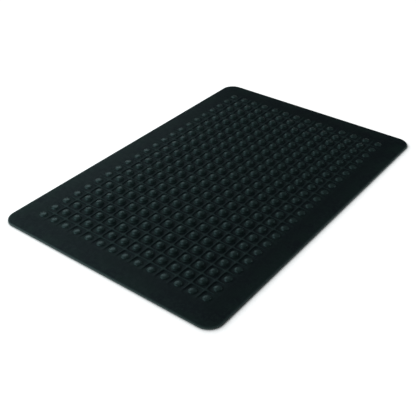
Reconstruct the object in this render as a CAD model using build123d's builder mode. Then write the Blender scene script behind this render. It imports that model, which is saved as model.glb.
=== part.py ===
"""Anti-fatigue floor mat, moulded in rubber, in millimetres.

The mat is a laminate of three sheets that are vulcanised together:

- wear_skin: the solid rubber top, with a field of hollow domes in pockets, the ribs left
  between the pockets, and a wide border that slopes down to a thin lip. It is solid rubber
  through the border.
- cushion_core: closed-cell sponge rubber that fills the skin's cavity, with a boss inside
  each dome.
- base_skin: a thin solid rubber sheet under both, with shallow suction dimples.

X is along the mat, Y across it and +Z up. The origin is the middle of the underside. The
mat is the same in all four quarters, so the two upper sheets are cut down to the quarter
where X and Y are positive, detailed there, and mirrored twice.
"""

import os

from build123d import *

# Overall sizes
LENGTH = 914.4
WIDTH = 609.6
THICKNESS = 14.0
CORNER_RADIUS = 35.0
LIP_HEIGHT = 3.5

# Dome field: spacing of the domes, and how many there are in one quarter
PITCH = 36.8
QUARTER_COLUMNS = 11
QUARTER_ROWS = 7
FIELD_HEIGHT = 6.6
POCKET_DEPTH = 1.6
RIB_WIDTH = 3.0
POCKET_RADIUS = 5.0

# Domes: base radius and crown height above the floor, for each ring of domes from the
# outermost one inwards. The last entry is used for every ring further in.
DOME_RINGS = ((9.4, 8.8), (10.2, 11.8), (10.4, THICKNESS))

# A dome's profile is fuller than an ellipse: its shoulder is at this share of both its
# base radius and its rise.
SHOULDER = 0.76

# Border
BEVEL_WIDTH = 62.0
FIELD_CORNER_RADIUS = 4.0

# Sheets
SKIN_THICKNESS = 1.0
BASE_THICKNESS = 0.8
SOLID_BORDER = 47.0
CORE_CORNER_RADIUS = 8.0

# Underside
DIMPLE_RADIUS = 9.0
DIMPLE_DEPTH = 0.3

# Worked out from the above
FLOOR_HEIGHT = FIELD_HEIGHT - POCKET_DEPTH
CORE_TOP = FLOOR_HEIGHT - SKIN_THICKNESS
POCKET_SIDE = PITCH - RIB_WIDTH
LAST_RING = len(DOME_RINGS) - 1


def dome_ring(column, row):
    """Which ring a dome of the quarter is in. Columns and rows count from the middle."""
    from_edge = min(QUARTER_COLUMNS - 1 - column, QUARTER_ROWS - 1 - row)
    return min(from_edge, LAST_RING)


def dome_places(ring=None):
    """Centres of the quarter's domes: all of them, or one ring's."""
    return [
        ((column + 0.5) * PITCH, (row + 0.5) * PITCH)
        for column in range(QUARTER_COLUMNS)
        for row in range(QUARTER_ROWS)
        if ring is None or dome_ring(column, row) == ring
    ]


def dome_body(base_radius, base_height, top_height):
    """A round dome with a flat base, standing on the Z axis."""
    rise = top_height - base_height
    with BuildPart() as body:
        with BuildSketch(Plane.XZ):
            with BuildLine():
                Line((0, base_height), (base_radius, base_height))
                Spline(
                    (base_radius, base_height),
                    (SHOULDER * base_radius, base_height + SHOULDER * rise),
                    (0, top_height),
                    tangents=((0, 1), (-1, 0)),
                )
                Line((0, top_height), (0, base_height))
            make_face()
        revolve(axis=Axis.Z)
    return body.part


def keep_quarter():
    """Cut the part being built down to the quarter where X and Y are positive."""
    split(bisect_by=Plane.YZ)
    split(bisect_by=Plane.ZX)


def mirror_quarter():
    """Mirror the quarter being built into the other three."""
    mirror(about=Plane.YZ)
    mirror(about=Plane.XZ)


# The sponge core: a flat sheet with one boss for each dome.
with BuildPart() as cushion_core:
    with BuildSketch(Plane.XY.offset(BASE_THICKNESS)):
        RectangleRounded(
            LENGTH - 2 * SOLID_BORDER, WIDTH - 2 * SOLID_BORDER, CORE_CORNER_RADIUS
        )
    extrude(amount=CORE_TOP - BASE_THICKNESS)
    keep_quarter()
    for ring, (base_radius, crown) in enumerate(DOME_RINGS):
        boss = dome_body(
            base_radius - SKIN_THICKNESS, CORE_TOP, crown - SKIN_THICKNESS
        )
        with Locations(*dome_places(ring)):
            add(boss)
    core_quarter = cushion_core.part
    mirror_quarter()
cushion_core.part.label = "cushion_core"

# The solid rubber top: lip, sloping border, field with pockets, and domes.
with BuildPart() as wear_skin:
    with BuildSketch(Plane.XY.offset(BASE_THICKNESS)):
        RectangleRounded(LENGTH, WIDTH, CORNER_RADIUS)
    extrude(amount=LIP_HEIGHT - BASE_THICKNESS)
    with BuildSketch(Plane.XY.offset(LIP_HEIGHT)):
        RectangleRounded(LENGTH, WIDTH, CORNER_RADIUS)
    with BuildSketch(Plane.XY.offset(FIELD_HEIGHT)):
        RectangleRounded(
            LENGTH - 2 * BEVEL_WIDTH, WIDTH - 2 * BEVEL_WIDTH, FIELD_CORNER_RADIUS
        )
    loft(ruled=True)
    keep_quarter()
    with BuildSketch(Plane.XY.offset(FIELD_HEIGHT)):
        with Locations(*dome_places()):
            RectangleRounded(POCKET_SIDE, POCKET_SIDE, POCKET_RADIUS)
    extrude(amount=-POCKET_DEPTH, mode=Mode.SUBTRACT)
    for ring, (base_radius, crown) in enumerate(DOME_RINGS):
        dome = dome_body(base_radius, FLOOR_HEIGHT, crown)
        with Locations(*dome_places(ring)):
            add(dome)
    add(core_quarter, mode=Mode.SUBTRACT)
    mirror_quarter()
wear_skin.part.label = "wear_skin"

# The thin sheet underneath, with a suction dimple below each crossing of the ribs.
with BuildPart() as base_skin:
    with BuildSketch():
        RectangleRounded(LENGTH, WIDTH, CORNER_RADIUS)
    extrude(amount=BASE_THICKNESS)
    with BuildSketch():
        with GridLocations(
            PITCH, PITCH, 2 * QUARTER_COLUMNS - 1, 2 * QUARTER_ROWS - 1
        ):
            Circle(DIMPLE_RADIUS)
    extrude(amount=DIMPLE_DEPTH, mode=Mode.SUBTRACT)
base_skin.part.label = "base_skin"

os.makedirs("parts", exist_ok=True)
for sheet in (wear_skin, cushion_core, base_skin):
    export_step(sheet.part, f"parts/{sheet.part.label}.step")
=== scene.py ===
"""Looks for the anti-fatigue mat: its three rubber sheets, the floor, the light and the camera.

Everything is in metres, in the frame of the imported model: X along the mat, Y across it, +Z up.
The wear skin and the sponge core are meshes of the same kind: a grid of square cells, each with
rings of points about its middle, and loops of points round the grid that carry on to the edge.
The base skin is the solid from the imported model, with a material of its own.
"""

import math

import bpy
import numpy as np
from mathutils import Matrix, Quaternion, Vector


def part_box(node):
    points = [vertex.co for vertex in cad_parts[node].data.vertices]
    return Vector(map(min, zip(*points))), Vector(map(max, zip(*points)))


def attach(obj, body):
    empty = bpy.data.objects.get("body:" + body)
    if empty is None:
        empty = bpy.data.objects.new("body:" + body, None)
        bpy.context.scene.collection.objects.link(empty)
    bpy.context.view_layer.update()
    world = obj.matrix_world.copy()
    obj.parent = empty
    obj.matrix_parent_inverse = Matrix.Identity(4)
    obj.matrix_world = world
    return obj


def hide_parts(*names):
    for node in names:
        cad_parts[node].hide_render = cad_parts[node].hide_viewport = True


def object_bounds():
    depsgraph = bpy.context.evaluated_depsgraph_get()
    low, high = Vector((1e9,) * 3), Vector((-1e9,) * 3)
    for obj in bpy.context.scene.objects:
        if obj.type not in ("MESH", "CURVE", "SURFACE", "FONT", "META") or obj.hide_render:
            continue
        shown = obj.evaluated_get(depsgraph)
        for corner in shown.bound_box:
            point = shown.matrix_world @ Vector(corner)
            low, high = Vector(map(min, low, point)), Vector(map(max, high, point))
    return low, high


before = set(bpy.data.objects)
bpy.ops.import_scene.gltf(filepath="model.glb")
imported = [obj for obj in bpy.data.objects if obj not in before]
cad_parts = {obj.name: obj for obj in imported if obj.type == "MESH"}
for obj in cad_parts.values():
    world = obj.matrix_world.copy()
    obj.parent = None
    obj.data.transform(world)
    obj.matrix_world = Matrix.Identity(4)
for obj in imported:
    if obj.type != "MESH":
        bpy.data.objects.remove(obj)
cad_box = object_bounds()

MM = 0.001
TINY = 1e-9

# Points nearer than this are one point
JOIN_DISTANCE = 0.001 * MM

# Overall sizes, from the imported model
high_corner = cad_box[1]
HALF_LENGTH = high_corner.x
HALF_WIDTH = high_corner.y
BASE_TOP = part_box("base_skin")[1].z

# Dome field, as in the part's source
PITCH = 36.8 * MM
COLUMNS = 22
ROWS = 14
RIB_WIDTH = 1.6 * MM
POCKET_RADIUS = 5.0 * MM
POCKET_DEPTH = 1.6 * MM
FIELD_HEIGHT = 6.6 * MM
DOME_RINGS = ((9.4 * MM, 8.8 * MM), (10.2 * MM, 11.8 * MM), (10.4 * MM, 14.0 * MM))

# Border and sheets
CORNER_RADIUS = 35.0 * MM
BEVEL_WIDTH = 62.0 * MM
LIP_HEIGHT = 3.5 * MM
LIP_ROUNDING = 0.6 * MM
SKIN_THICKNESS = 1.0 * MM
CORE_INSET = 47.0 * MM
CORE_CORNER_RADIUS = 8.0 * MM
CORE_GAP = 0.05 * MM

# Points round each dome, on the skin's top and on the sheets below it
TOP_SEGMENTS = 24
LOWER_SEGMENTS = 12

# Worked out from the above
FLOOR_HEIGHT = FIELD_HEIGHT - POCKET_DEPTH
CORE_TOP = FLOOR_HEIGHT - SKIN_THICKNESS
POCKET_HALF_SIDE = (PITCH - RIB_WIDTH) / 2
FIELD_HALF_LENGTH = COLUMNS * PITCH / 2
FIELD_HALF_WIDTH = ROWS * PITCH / 2


# ---- Shapes of points -------------------------------------------------------------------


def rounded_square(half_side, corner_radius, segments):
    """Points of a rounded square, where rays at even angles from its middle meet it."""
    angles = np.arange(segments) * 2 * math.pi / segments
    folded = np.abs((angles + math.pi / 4) % (math.pi / 2) - math.pi / 4)
    across = np.cos(folded)
    along = np.sin(folded)
    corner = half_side - corner_radius
    to_corner = corner * (across + along)
    root = np.sqrt(np.maximum(to_corner**2 - 2 * corner**2 + corner_radius**2, 0))
    on_side = half_side / across
    reach = np.where(on_side * along <= corner, on_side, to_corner + root)
    return np.column_stack((reach * np.cos(angles), reach * np.sin(angles)))


def side_marks(cells, segments):
    """Where the cells' points lie along one side of the grid, from -1 to just before 1."""
    steps = np.arange(segments // 4) * 2 * math.pi / segments - math.pi / 4
    middles = np.arange(cells) - (cells - 1) / 2
    return (middles[:, None] + np.tan(steps)[None, :] / 2).ravel() / (cells / 2)


def side_points(marks, half_side, half_other, radius):
    """Points along the lower side of a rounded rectangle, evenly spread from corner to corner."""
    straight = half_side - radius
    length = straight + radius * math.pi / 4
    distance = np.abs(marks) * length
    turn = np.clip(distance - straight, 0, None) / max(radius, TINY)
    along = np.minimum(distance, straight) + radius * np.sin(turn)
    return np.sign(marks) * along, -half_other + radius * (1 - np.cos(turn))


def loop_points(columns, rows, segments, half_length, half_width, radius):
    """A rounded rectangle, anticlockwise, with as many points as the grid has at its edge."""
    radius = max(radius, 0)
    long_marks = side_marks(columns, segments)
    short_marks = side_marks(rows, segments)
    x, y = side_points(long_marks, half_length, half_width, radius)
    u, v = side_points(short_marks, half_width, half_length, radius)
    lower = np.column_stack((x, y))
    right = np.column_stack((-v, u))
    return np.concatenate((lower, right, -lower, -right))


def edge_distance(x, y):
    """How far inside the mat's outline a point is."""
    across = np.abs(x) - (HALF_LENGTH - CORNER_RADIUS)
    along = np.abs(y) - (HALF_WIDTH - CORNER_RADIUS)
    outside = np.hypot(np.maximum(across, 0), np.maximum(along, 0))
    return CORNER_RADIUS - outside - np.minimum(np.maximum(across, along), 0)


def smoothstep(low, high, value):
    """0 below low, 1 above high, and an S curve between them."""
    share = np.clip((value - low) / (high - low), 0, 1)
    return share * share * (3 - 2 * share)


# ---- Meshes from grids of cells and loops -----------------------------------------------


class Soup:
    """Points and faces that are gathered loose, and joined where points coincide."""

    def __init__(self):
        self.points = []
        self.values = []
        self.faces = []
        self.count = 0

    def add(self, points, faces, value=0.0):
        points = np.asarray(points, float).reshape(-1, 3)
        self.points.append(points)
        self.values.append(np.broadcast_to(np.ravel(value), (len(points),)))
        self.faces.extend(tuple(int(i) + self.count for i in face) for face in faces)
        self.count += len(points)

    def build(self, name):
        """A mesh object of everything gathered, with the values as its attribute tone."""
        points = np.concatenate(self.points)
        values = np.concatenate(self.values)
        keys = np.round(points / JOIN_DISTANCE).astype(np.int64)
        _, first, joined = np.unique(
            keys, axis=0, return_index=True, return_inverse=True
        )
        joined = joined.ravel()
        faces = [[int(joined[i]) for i in face] for face in self.faces]
        mesh = bpy.data.meshes.new(name)
        mesh.from_pydata(points[first].tolist(), [], faces)
        mesh.validate()
        mesh.shade_smooth()
        tone = mesh.attributes.new("tone", "FLOAT", "POINT")
        tone.data.foreach_set("value", values[first].astype(np.float32))
        piece = bpy.data.objects.new(name, mesh)
        bpy.context.scene.collection.objects.link(piece)
        return piece


def cell_faces(rings, segments):
    """Faces of one cell: a fan about its middle point, then bands between its rings."""
    faces = []
    for step in range(segments):
        after = (step + 1) % segments
        faces.append((0, 1 + step, 1 + after))
        for ring in range(rings - 1):
            inner = 1 + ring * segments
            outer = inner + segments
            faces.append((inner + step, outer + step, outer + after, inner + after))
    return faces


def add_cells(soup, columns, rows, rings, height, upward=True):
    """Add a grid of cells. rings gives the cell's rings from its middle out, as points, and
    height gives each point's height and tone from its cell, its place and its ring."""
    segments = len(rings[0][0])
    faces = cell_faces(len(rings[0]), segments)
    if not upward:
        faces = [face[::-1] for face in faces]
    for column in range(columns):
        for row in range(rows):
            grade = min(column, columns - 1 - column, row, rows - 1 - row, len(rings) - 1)
            middle = (
                (column - (columns - 1) / 2) * PITCH,
                (row - (rows - 1) / 2) * PITCH,
            )
            flat = np.concatenate(([(0.0, 0.0)], *rings[grade])) + middle
            level = np.concatenate(
                ([0], np.repeat(np.arange(len(rings[grade])) + 1, segments))
            )
            z, tone = height(flat[:, 0], flat[:, 1], level, grade)
            soup.add(np.column_stack((flat, z)), faces, tone)


def add_band(soup, inner, outer, upward=True, inner_tone=0.0, outer_tone=0.0):
    """Add the faces between two loops that have as many points as each other."""
    count = len(inner)
    after = (np.arange(count) + 1) % count
    here = np.arange(count)
    quads = np.column_stack((here, count + here, count + after, after))
    if not upward:
        quads = quads[:, ::-1]
    tone = np.concatenate((np.full(count, inner_tone), np.full(count, outer_tone)))
    soup.add(np.concatenate((inner, outer)), quads, tone)


def add_halving_band(soup, coarse, fine):
    """Add the underside between a fine loop and one inside it with half as many points."""
    count = len(coarse)
    faces = []
    for here in range(count):
        after = (here + 1) % count
        first = count + 2 * here
        last = count + (2 * here + 2) % (2 * count)
        faces.append((here, first + 1, first))
        faces.append((here, after, first + 1))
        faces.append((after, last, first + 1))
    soup.add(np.concatenate((coarse, fine)), faces)


def lifted(flat, height):
    """Give flat points a height, one for all or one for each."""
    return np.column_stack((flat, np.broadcast_to(height, len(flat))))


# ---- The wear skin ----------------------------------------------------------------------

# A dome's reach and rise are a sine and a cosine to this power: 1 would be an ellipse
BUTTON_POWER = 0.8

# Rings of points on a dome, from its crown to its base, where it still stands a little
# above the pocket's floor, and the width of the soft foot round it
CAP_STEPS = 5
CAP_FOOT_LIFT = 0.5 * MM
DOME_FOOT = 0.8 * MM

# How far a pocket's wall leans in, and how much of it is still to drop at the middle ring
WALL_LEAN = 1.4 * MM
WALL_MIDDLE = 0.4

# How far in from the field's edge the pockets reach their full depth
FADE_REACH = 0.62 * PITCH

# How far in from the mat's edge the loops of the border are
BORDER_LOOPS = [MM * inset for inset in (44, 36, 28, 20, 12, 5, 2, 0.6, 0.3, 0)]

# Tone of the rubber sets its painted light and shade: 0 is painted shade on the pocket floors,
# the low tones are painted shade round the domes' feet and on the border next to the field,
# the ribs and domes are paler as a painted sheen, and 2 is the painted highlight round the lip
INNER_BORDER_TONE = 0.12
FOOT_TONE = 0.3
BODY_TONE = 0.4
RIM_TONE = 0.42
RIB_TONE = 0.7
DOME_TONE = 1.0
LIP_TONE = 2.0

# How far in from the edge the border has its lip's, its rim's and its inner tone
RIM_STEPS = (0, 3 * MM, 44 * MM)


def plateau(x, y):
    """Height of the mat without its pockets and domes: a flat field and a sloping border."""
    share = np.clip(edge_distance(x, y) / BEVEL_WIDTH, 0, 1)
    return LIP_HEIGHT + (FIELD_HEIGHT - LIP_HEIGHT) * share


def pocket_fade(x, y):
    """1 over the field, falling to 0 at its edge, where the pockets run out."""
    inward = np.minimum(FIELD_HALF_LENGTH - np.abs(x), FIELD_HALF_WIDTH - np.abs(y))
    return smoothstep(0, FADE_REACH, inward)


def button(turn):
    """A dome's profile, fuller than an ellipse: its reach and rise, as shares, where turn
    goes from 0 at the crown to 1 at the foot."""
    angle = np.minimum(turn, 1) * math.pi / 2
    return np.sin(angle) ** BUTTON_POWER, np.cos(angle).clip(0) ** BUTTON_POWER


def skin_rings(base_radius):
    """Rings of a cell of the skin: the dome, the pocket's floor and wall, and the rib."""
    reach = button(np.arange(1, CAP_STEPS + 1) / CAP_STEPS)[0]
    radii = [*(base_radius * reach), base_radius + DOME_FOOT]
    circles = [rounded_square(radius, radius, TOP_SEGMENTS) for radius in radii]
    floor_side = POCKET_HALF_SIDE - WALL_LEAN
    squares = [
        rounded_square(floor_side, POCKET_RADIUS - WALL_LEAN, TOP_SEGMENTS),
        rounded_square(POCKET_HALF_SIDE - WALL_LEAN / 2, POCKET_RADIUS, TOP_SEGMENTS),
        rounded_square(POCKET_HALF_SIDE, POCKET_RADIUS, TOP_SEGMENTS),
        rounded_square(PITCH / 2, 0, TOP_SEGMENTS),
    ]
    return circles + squares


def skin_height(x, y, level, grade):
    """Height and tone of the skin's points, where level counts the cell's rings outwards.
    The tone paints shade into the pockets and round the domes' feet, and a painted sheen on the
    domes and rib tops.
    """
    crown = DOME_RINGS[grade][1]
    cap = button(level / CAP_STEPS)[1]
    cap = np.where(level == CAP_STEPS, CAP_FOOT_LIFT / (crown - FLOOR_HEIGHT), cap)
    foot = CAP_STEPS + 1
    wall = (foot + 1, foot + 2, foot + 3)
    depth_share = np.interp(level, wall, (1, WALL_MIDDLE, 0))
    fade = pocket_fade(x, y)
    ground = plateau(x, y) - POCKET_DEPTH * depth_share * fade
    height = ground * (1 - cap) + crown * cap
    # Painted shade: the ground's tone falls to 0 on the pocket floors and to the foot's low tone
    # round each dome, is highest on the rib tops as a painted sheen, and is low on the border
    # next to the field as painted shade
    ground_tone = INNER_BORDER_TONE + (RIB_TONE - INNER_BORDER_TONE) * fade
    ground_tone = ground_tone * (1 - depth_share * fade)
    ground_tone = np.where(level == foot, FOOT_TONE, ground_tone)
    # The dome's points take the full tone of the painted sheen
    return height, np.where(level <= CAP_STEPS, DOME_TONE, ground_tone)


def add_border(soup):
    """Add the skin's border, from the field's edge to the lip and down to the base skin."""
    grid = (COLUMNS, ROWS, TOP_SEGMENTS)
    flat = loop_points(*grid, FIELD_HALF_LENGTH, FIELD_HALF_WIDTH, 0)
    inner = lifted(flat, plateau(flat[:, 0], flat[:, 1]))
    inner_tone = INNER_BORDER_TONE
    for inset in BORDER_LOOPS:
        flat = loop_points(
            *grid, HALF_LENGTH - inset, HALF_WIDTH - inset, CORNER_RADIUS - inset
        )
        height = plateau(flat[:, 0], flat[:, 1])
        over = max(LIP_ROUNDING - inset, 0)
        height = height - (LIP_ROUNDING - math.sqrt(LIP_ROUNDING**2 - over**2))
        outer = lifted(flat, height)
        # Painted highlight at the lip, falling to the rim's tone, then painted shade deepening
        # inwards towards the field
        outer_tone = np.interp(inset, RIM_STEPS, (LIP_TONE, RIM_TONE, INNER_BORDER_TONE))
        add_band(soup, inner, outer, inner_tone=inner_tone, outer_tone=outer_tone)
        inner = outer
        inner_tone = outer_tone
    foot = lifted(outer[:, :2], BASE_TOP)
    # The side face down to the base skin takes the tone of the painted highlight
    add_band(soup, outer, foot, inner_tone=LIP_TONE, outer_tone=LIP_TONE)
    return foot


# ---- The sponge core --------------------------------------------------------------------

# Where the ring between a boss's crown and its foot is
BOSS_TURN = 0.4


def sponge_rings():
    """Rings of a cell of the sponge core, for each grade of dome."""
    grades = []
    for base_radius, _ in DOME_RINGS:
        foot = base_radius - SKIN_THICKNESS
        radii = foot * button(np.array((BOSS_TURN, 1)))[0]
        circles = [rounded_square(radius, radius, LOWER_SEGMENTS) for radius in radii]
        grades.append(circles + [rounded_square(PITCH / 2, 0, LOWER_SEGMENTS)])
    return grades


def sponge_height(gap):
    """The height function of the sponge core's top, lowered by a gap."""

    def height(x, y, level, grade):
        rise = DOME_RINGS[grade][1] - SKIN_THICKNESS - CORE_TOP
        cap = button(np.interp(level, (0, 1, 2), (0, BOSS_TURN, 1)))[1]
        return CORE_TOP - gap + rise * cap, 0.0

    return height


def add_sponge_top(soup, gap, upward):
    """Add the surface where the skin meets the sponge core, and return its lower edge."""
    grid = (COLUMNS, ROWS, LOWER_SEGMENTS)
    add_cells(soup, COLUMNS, ROWS, sponge_rings(), sponge_height(gap), upward)
    field = loop_points(*grid, FIELD_HALF_LENGTH, FIELD_HALF_WIDTH, 0)
    inset = CORE_INSET + gap
    rim = loop_points(
        *grid, HALF_LENGTH - inset, HALF_WIDTH - inset, CORE_CORNER_RADIUS
    )
    shoulder = lifted(rim, CORE_TOP - gap)
    foot = lifted(rim, BASE_TOP)
    add_band(soup, lifted(field, CORE_TOP - gap), shoulder, upward)
    add_band(soup, shoulder, foot, upward)
    return foot


# ---- The two meshes ---------------------------------------------------------------------


def make_wear_skin():
    soup = Soup()
    rings = [skin_rings(base_radius) for base_radius, _ in DOME_RINGS]
    add_cells(soup, COLUMNS, ROWS, rings, skin_height)
    outer_foot = add_border(soup)
    inner_foot = add_sponge_top(soup, 0, upward=False)
    add_halving_band(soup, inner_foot, outer_foot)
    return soup.build("mat_wear_skin")


def make_cushion_core():
    soup = Soup()
    foot = add_sponge_top(soup, CORE_GAP, upward=True)
    soup.add(foot, [tuple(range(len(foot)))[::-1]])
    return soup.build("mat_cushion_core")


# ---- Materials --------------------------------------------------------------------------


class Nodes:
    """A material's node tree, with short ways to add and link nodes."""

    def __init__(self, name):
        self.material = bpy.data.materials.new(name)
        self.material.use_nodes = True
        self.tree = self.material.node_tree
        self.shader = self.tree.nodes["Principled BSDF"]

    def add(self, kind, **settings):
        node = self.tree.nodes.new(kind)
        for setting, value in settings.items():
            setattr(node, setting, value)
        return node

    def link(self, output, target):
        self.tree.links.new(output, target)

    def place(self):
        """The point's place in the row frame, in metres."""
        return self.add("ShaderNodeTexCoord").outputs["Object"]

    def noise(self, size, detail=3.0, roughness=0.5):
        """Noise whose blotches are about this size."""
        node = self.add("ShaderNodeTexNoise")
        node.inputs["Scale"].default_value = 1 / size
        node.inputs["Detail"].default_value = detail
        node.inputs["Roughness"].default_value = roughness
        self.link(self.place(), node.inputs["Vector"])
        return node.outputs["Fac"]

    def spread(self, value, low, high, out_low=0.0, out_high=1.0):
        """Map a value's range onto another."""
        node = self.add("ShaderNodeMapRange")
        node.inputs["From Min"].default_value = low
        node.inputs["From Max"].default_value = high
        node.inputs["To Min"].default_value = out_low
        node.inputs["To Max"].default_value = out_high
        self.link(value, node.inputs["Value"])
        return node.outputs["Result"]

    def blend(self, share, first, second):
        """Mix two colours, each an RGB triple or a socket."""
        node = self.add("ShaderNodeMix", data_type="RGBA")
        self.link(share, node.inputs["Factor"])
        for side, colour in (("A", first), ("B", second)):
            socket = [s for s in node.inputs if s.name == side and s.type == "RGBA"][0]
            if isinstance(colour, tuple):
                socket.default_value = (*colour, 1)
            else:
                self.link(colour, socket)
        return [s for s in node.outputs if s.type == "RGBA"][0]

    def bump(self, value, distance, strength, before=None):
        node = self.add("ShaderNodeBump")
        node.inputs["Distance"].default_value = distance
        node.inputs["Strength"].default_value = strength
        self.link(value, node.inputs["Height"])
        if before is not None:
            self.link(before, node.inputs["Normal"])
        return node.outputs["Normal"]


# Colours of the skin: its body is mottled between the first two, with paler flecks
BLUE_BLACK = (0.0064, 0.0080, 0.0128)
GREEN_BLACK = (0.0092, 0.0210, 0.0172)
FLECK_COLOUR = (0.0150, 0.0250, 0.0245)
# Painted shade, laid on the pocket floors and round the domes' feet
POCKET_PAINTED_SHADE = (0.0048, 0.0066, 0.0088)
# Painted sheen: the domes are mixed toward this paler colour, and the rib tops half way
DOME_PAINTED_SHEEN = (0.0400, 0.0660, 0.0635)

# Pale colour painted on the lip and on the upright side faces of the sheets, a painted highlight
# along the edge
EDGE_PAINTED_HIGHLIGHT = (0.062, 0.090, 0.083)

# Roughness of the ribs and all that is lower, and of the polished domes
GROUND_ROUGHNESS = 0.66
DOME_ROUGHNESS = 0.34
GLOSS_CHANGE = 0.04


def skin_rubber():
    """Black rubber with a blue-green cast, mottled, with a fine moulded grain, and with painted
    shade in the pockets and a painted sheen and highlight on the domes, ribs and lip.
    """
    nodes = Nodes("skin_rubber")
    tone = nodes.add("ShaderNodeAttribute", attribute_name="tone").outputs["Fac"]
    cloud = nodes.spread(nodes.noise(45 * MM, 4, 0.6), 0.44, 0.56)
    fleck = nodes.spread(nodes.noise(7 * MM, 4, 0.7), 0.47, 0.59)
    body = nodes.blend(cloud, BLUE_BLACK, GREEN_BLACK)
    flecked = nodes.blend(fleck, body, FLECK_COLOUR)
    # Painted sheen on the domes and rib tops, then painted shade on the pocket floors, the domes'
    # feet and the border next to the field
    painted_sheen = nodes.blend(nodes.spread(tone, BODY_TONE, DOME_TONE), flecked, DOME_PAINTED_SHEEN)
    dark = nodes.blend(nodes.spread(tone, 0.0, BODY_TONE), POCKET_PAINTED_SHADE, painted_sheen)
    # Painted highlight on the lip and its side face
    lip = nodes.blend(nodes.spread(tone, DOME_TONE, LIP_TONE), dark, EDGE_PAINTED_HIGHLIGHT)
    nodes.link(lip, nodes.shader.inputs["Base Color"])
    gloss = nodes.spread(nodes.noise(9 * MM, 3), 0.3, 0.7, GLOSS_CHANGE, -GLOSS_CHANGE)
    polish = nodes.spread(tone, RIB_TONE, DOME_TONE, GROUND_ROUGHNESS, DOME_ROUGHNESS)
    roughness = nodes.add("ShaderNodeMath", operation="ADD")
    nodes.link(gloss, roughness.inputs[0])
    nodes.link(polish, roughness.inputs[1])
    nodes.link(roughness.outputs["Value"], nodes.shader.inputs["Roughness"])
    grain = nodes.bump(nodes.noise(1.1 * MM, 4, 0.6), 0.12 * MM, 0.5)
    pits = nodes.bump(nodes.noise(4.0 * MM, 3, 0.6), 0.35 * MM, 0.35, grain)
    nodes.link(pits, nodes.shader.inputs["Normal"])
    nodes.shader.inputs["Specular IOR Level"].default_value = 0.35
    nodes.shader.inputs["Specular Tint"].default_value = (0.6, 0.95, 1.0, 1)
    return nodes.material


SPONGE_CELL = 0.9 * MM
SPONGE_DARK = (0.018, 0.019, 0.020)
SPONGE_PALE = (0.055, 0.057, 0.060)


def core_sponge():
    """Dark grey closed-cell sponge."""
    nodes = Nodes("core_sponge")
    cells = nodes.add("ShaderNodeTexVoronoi")
    cells.inputs["Scale"].default_value = 1 / SPONGE_CELL
    nodes.link(nodes.place(), cells.inputs["Vector"])
    share = nodes.spread(cells.outputs["Distance"], 0.0, 0.6)
    colour = nodes.blend(share, SPONGE_DARK, SPONGE_PALE)
    nodes.link(colour, nodes.shader.inputs["Base Color"])
    nodes.shader.inputs["Roughness"].default_value = 0.9
    nodes.link(
        nodes.bump(cells.outputs["Distance"], 0.3 * MM, 0.6),
        nodes.shader.inputs["Normal"],
    )
    return nodes.material


BASE_DARK = (0.012, 0.015, 0.016)
BASE_PALE = (0.019, 0.024, 0.025)


def base_rubber():
    """Matt black rubber with a coarse moulded grain, and a painted highlight on its upright side
    faces.
    """
    nodes = Nodes("base_rubber")
    cloud = nodes.spread(nodes.noise(30 * MM, 4, 0.6), 0.35, 0.65)
    colour = nodes.blend(cloud, BASE_DARK, BASE_PALE)
    normal = nodes.add("ShaderNodeNewGeometry").outputs["Normal"]
    parts = nodes.add("ShaderNodeSeparateXYZ")
    nodes.link(normal, parts.inputs["Vector"])
    flatness = nodes.add("ShaderNodeMath", operation="ABSOLUTE")
    nodes.link(parts.outputs["Z"], flatness.inputs[0])
    # Painted highlight: upright faces take the pale edge colour, flat ones the mottled black
    edged = nodes.blend(flatness.outputs["Value"], EDGE_PAINTED_HIGHLIGHT, colour)
    nodes.link(edged, nodes.shader.inputs["Base Color"])
    gloss = nodes.spread(nodes.noise(6 * MM, 3), 0.3, 0.7, 0.75, 0.6)
    nodes.link(gloss, nodes.shader.inputs["Roughness"])
    nodes.link(
        nodes.bump(nodes.noise(1.6 * MM, 3, 0.6), 0.2 * MM, 0.5),
        nodes.shader.inputs["Normal"],
    )
    return nodes.material


# Painted contact shadow: the floor's glow fades beside the mat, over this reach, as seen along
# this leaning normal, and from full down to none between these shares of open sky
CONTACT_SHADE = 22 * MM
SHADE_LEAN = (0.29, 0.72, 0.62)
FULL_GLOW = 0.97
NO_GLOW = 0.55

BLACK = (0.0, 0.0, 0.0)
WHITE = (1.0, 1.0, 1.0)
GLOW_STRENGTH = 0.95


def pale_floor():
    """A white floor that glows, with a painted contact shadow where the glow is less by the mat's
    edge, most of all on its near side.
    """
    nodes = Nodes("pale_floor")
    shade = nodes.add("ShaderNodeAmbientOcclusion", samples=8)
    shade.inputs["Distance"].default_value = CONTACT_SHADE
    lean = nodes.add("ShaderNodeCombineXYZ")
    for axis, share in zip("XYZ", SHADE_LEAN):
        lean.inputs[axis].default_value = share
    nodes.link(lean.outputs["Vector"], shade.inputs["Normal"])
    glow = nodes.spread(shade.outputs["AO"], NO_GLOW, FULL_GLOW)
    colour = nodes.blend(glow, BLACK, WHITE)
    nodes.link(colour, nodes.shader.inputs["Emission Color"])
    nodes.shader.inputs["Emission Strength"].default_value = GLOW_STRENGTH
    nodes.shader.inputs["Base Color"].default_value = (0.8, 0.8, 0.8, 1)
    nodes.shader.inputs["Roughness"].default_value = 1.0
    nodes.shader.inputs["Specular IOR Level"].default_value = 0.0
    return nodes.material


# ---- Putting it together ----------------------------------------------------------------


def wear_one(piece, material):
    """Give a piece one material, in place of any that it has."""
    piece.data.materials.clear()
    piece.data.materials.append(material)


def make_mat():
    skin = make_wear_skin()
    wear_one(skin, skin_rubber())
    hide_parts("wear_skin")
    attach(skin, "root")

    core = make_cushion_core()
    wear_one(core, core_sponge())
    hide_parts("cushion_core")
    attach(core, "root")

    rubber = base_rubber()
    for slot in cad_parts["base_skin"].material_slots:
        slot.material = rubber


FLOOR_SIDE = 60.0


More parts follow.
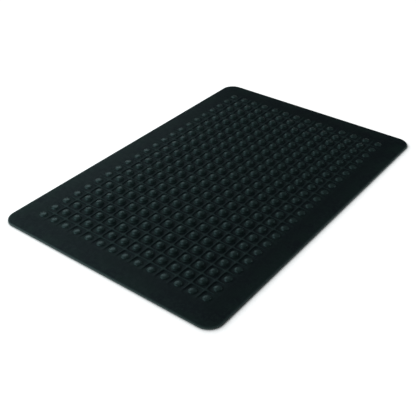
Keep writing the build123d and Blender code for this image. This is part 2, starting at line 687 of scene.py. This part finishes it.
def make_floor():
    mesh = bpy.data.meshes.new("floor")
    half = FLOOR_SIDE / 2
    corners = [(-half, -half, 0), (half, -half, 0), (half, half, 0), (-half, half, 0)]
    mesh.from_pydata(corners, [], [(0, 1, 2, 3)])
    floor = bpy.data.objects.new("floor", mesh)
    bpy.context.scene.collection.objects.link(floor)
    wear_one(floor, pale_floor())


SKY_TINT = (0.86, 0.98, 1.0)


def softbox(name, place, width, height, power):
    """A rectangular area light that is aimed at the middle of the mat."""
    light = bpy.data.lights.new(name, "AREA")
    light.shape = "RECTANGLE"
    light.size = width
    light.size_y = height
    light.energy = power
    light.color = SKY_TINT
    box = bpy.data.objects.new(name, light)
    box.location = place
    box.rotation_mode = "QUATERNION"
    box.rotation_quaternion = (-Vector(place)).to_track_quat("-Z", "Y")
    bpy.context.scene.collection.objects.link(box)


WORLD_TINT = (0.9, 0.97, 1.0)
WORLD_STRENGTH = 0.03


def make_lights():
    softbox("key_left", (-1.0, 0.58, 0.76), width=1.2, height=0.8, power=4.6)
    softbox("fill_right", (0.9, -0.6, 0.8), width=0.18, height=0.18, power=1.15)
    softbox("back", (0.45, 1.15, 0.95), width=1.2, height=0.7, power=4.2)
    world = bpy.data.worlds.new("studio")
    world.use_nodes = True
    background = world.node_tree.nodes["Background"]
    background.inputs["Color"].default_value = (*WORLD_TINT, 1)
    background.inputs["Strength"].default_value = WORLD_STRENGTH
    bpy.context.scene.world = world


# The camera: the point it looks at and its distance in metres, its angles in degrees, and
# its lens and film width in millimetres
AIM = (-0.1326, -0.0506, 0.005)
DISTANCE = 1.675
HEADING = 36.89
ELEVATION = 35.05
ROLL = 0.16
LENS = 61.11
FILM_WIDTH = 36


def make_camera():
    camera = bpy.data.objects.new("camera", bpy.data.cameras.new("camera"))
    camera.data.lens = LENS
    camera.data.sensor_width = FILM_WIDTH
    heading = math.radians(HEADING)
    elevation = math.radians(ELEVATION)
    ahead = math.cos(elevation)
    look = Vector(
        (math.cos(heading) * ahead, math.sin(heading) * ahead, -math.sin(elevation))
    )
    level = look.to_track_quat("-Z", "Y")
    roll = Quaternion((0, 0, 1), math.radians(ROLL))
    camera.location = Vector(AIM) - look * DISTANCE
    camera.rotation_mode = "QUATERNION"
    camera.rotation_quaternion = level @ roll
    bpy.context.scene.collection.objects.link(camera)
    bpy.context.scene.camera = camera


make_mat()
make_floor()
make_lights()
make_camera()
bpy.context.scene.view_settings.view_transform = "Standard"
